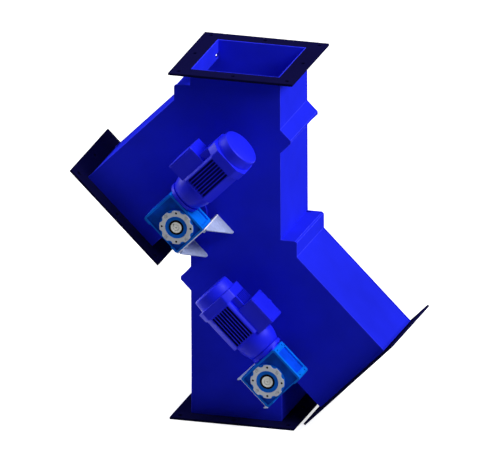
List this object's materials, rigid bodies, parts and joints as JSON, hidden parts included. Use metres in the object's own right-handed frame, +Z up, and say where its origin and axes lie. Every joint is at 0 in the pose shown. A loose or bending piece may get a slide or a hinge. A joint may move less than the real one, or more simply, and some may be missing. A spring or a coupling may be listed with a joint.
{
  "type": "bulk diverter valve",
  "caption": "Square-duct diverter valve: motor-driven flaps turn falling bulk product into angled side outlets or let it drop straight through.",
  "frame": {"origin": "centre of the bottom outlet, on the face of its flange", "axes": "+Z up from the bottom outlet to the inlet, +X along the front plate towards the right-hand leg, +Y from the gear motors through the duct"},
  "size_m": [0.8412, 0.422, 0.917],
  "materials": {
    "casing": "ultramarine enamel, satin",
    "flange": "near black navy enamel",
    "bearing_casting": "painted casting",
    "bronze": "machined bronze",
    "rubber": "black nitrile rubber",
    "fastener": "zinc plated",
    "gearbox_paint": "azure enamel on die casting",
    "cover_ring": "as cast, warm grey",
    "bearing_steel": "ground steel",
    "shaft_steel": "turned steel",
    "flap_steel": "bare steel, worn by the product",
    "motor_paint": "ultramarine enamel, glossy",
    "core_steel": "laminated steel",
    "fan_plastic": "moulded black plastic",
    "bracket_steel": "galvanised"
  },
  "bodies": {
    "casing": {"front_plate": "casing", "back_plate": "casing", "left_leg_cover": "casing", "left_leg_floor": "casing", "left_wall": "casing", "bottom_right_wall": "casing", "right_leg_cover": "casing", "right_leg_floor": "casing", "right_wall": "casing", "crotch_saddles": "casing", "pivot_doublers": "casing", "inlet_flange": "flange", "left_outlet_flange": "flange", "right_outlet_flange": "flange", "bottom_outlet_flange": "flange", "bearing_housings": "bearing_casting", "bearing_end_caps": "bearing_casting", "bearing_bushes": "bronze", "shaft_seals": "rubber", "oil_seals": "rubber", "bearing_bolts": "fastener", "cover_screws": "fastener", "adapter_bolts": "fastener", "bracket_bolts": "fastener", "upper_gearbox_housing": "gearbox_paint", "lower_gearbox_housing": "gearbox_paint", "bearing_caps": "gearbox_paint", "motor_adapters": "gearbox_paint", "output_covers": "cover_ring", "output_bearings": "bearing_steel", "worm_bearings": "bearing_steel", "upper_motor_frame": "motor_paint", "lower_motor_frame": "motor_paint", "motor_end_shields": "motor_paint", "fan_cowls": "motor_paint", "terminal_boxes": "motor_paint", "terminal_lids": "motor_paint", "cable_glands": "motor_paint", "stator_cores": "core_steel", "gearbox_brackets": "bracket_steel"},
    "upper_flap": {"upper_flap_blade": "flap_steel", "upper_edge_seal": "rubber", "upper_seal_clamp": "flap_steel", "upper_flap_shaft": "shaft_steel", "upper_hollow_shaft": "shaft_steel", "upper_shaft_key": "shaft_steel", "upper_worm_wheel": "bronze"},
    "upper_rotor": {"upper_worm_shaft": "shaft_steel", "upper_rotor_core": "core_steel", "upper_cooling_fan": "fan_plastic"},
    "lower_flap": {"lower_flap_blade": "flap_steel", "lower_edge_seal": "rubber", "lower_seal_clamp": "flap_steel", "lower_flap_shaft": "shaft_steel", "lower_hollow_shaft": "shaft_steel", "lower_shaft_key": "shaft_steel", "lower_worm_wheel": "bronze"},
    "lower_rotor": {"lower_worm_shaft": "shaft_steel", "lower_rotor_core": "core_steel", "lower_cooling_fan": "fan_plastic"}
  },
  "joints": [
    {"name": "upper_flap_swing", "type": "hinge", "parent": "casing", "child": "upper_flap", "pos_m": [-0.118, 0, 0.539], "axis": [0, -1, 0], "range_deg": [0, 51.02]},
    {"name": "upper_worm_spin", "type": "hinge", "parent": "casing", "child": "upper_rotor", "pos_m": [-0.14628, -0.205, 0.56728], "axis": [0.7071, 0, 0.7071], "range_deg": [0, 1531]},
    {"name": "lower_flap_swing", "type": "hinge", "parent": "casing", "child": "lower_flap", "pos_m": [0.118, 0, 0.153], "axis": [0, 1, 0], "range_deg": [0, 51.02]},
    {"name": "lower_worm_spin", "type": "hinge", "parent": "casing", "child": "lower_rotor", "pos_m": [0.14628, -0.205, 0.18128], "axis": [0.7071, 0, -0.7071], "range_deg": [0, 1531]}
  ],
  "couplings": [
    {"joint": "upper_worm_spin", "follows": "upper_flap_swing", "ratio": 30},
    {"joint": "lower_worm_spin", "follows": "lower_flap_swing", "ratio": 30}
  ]
}
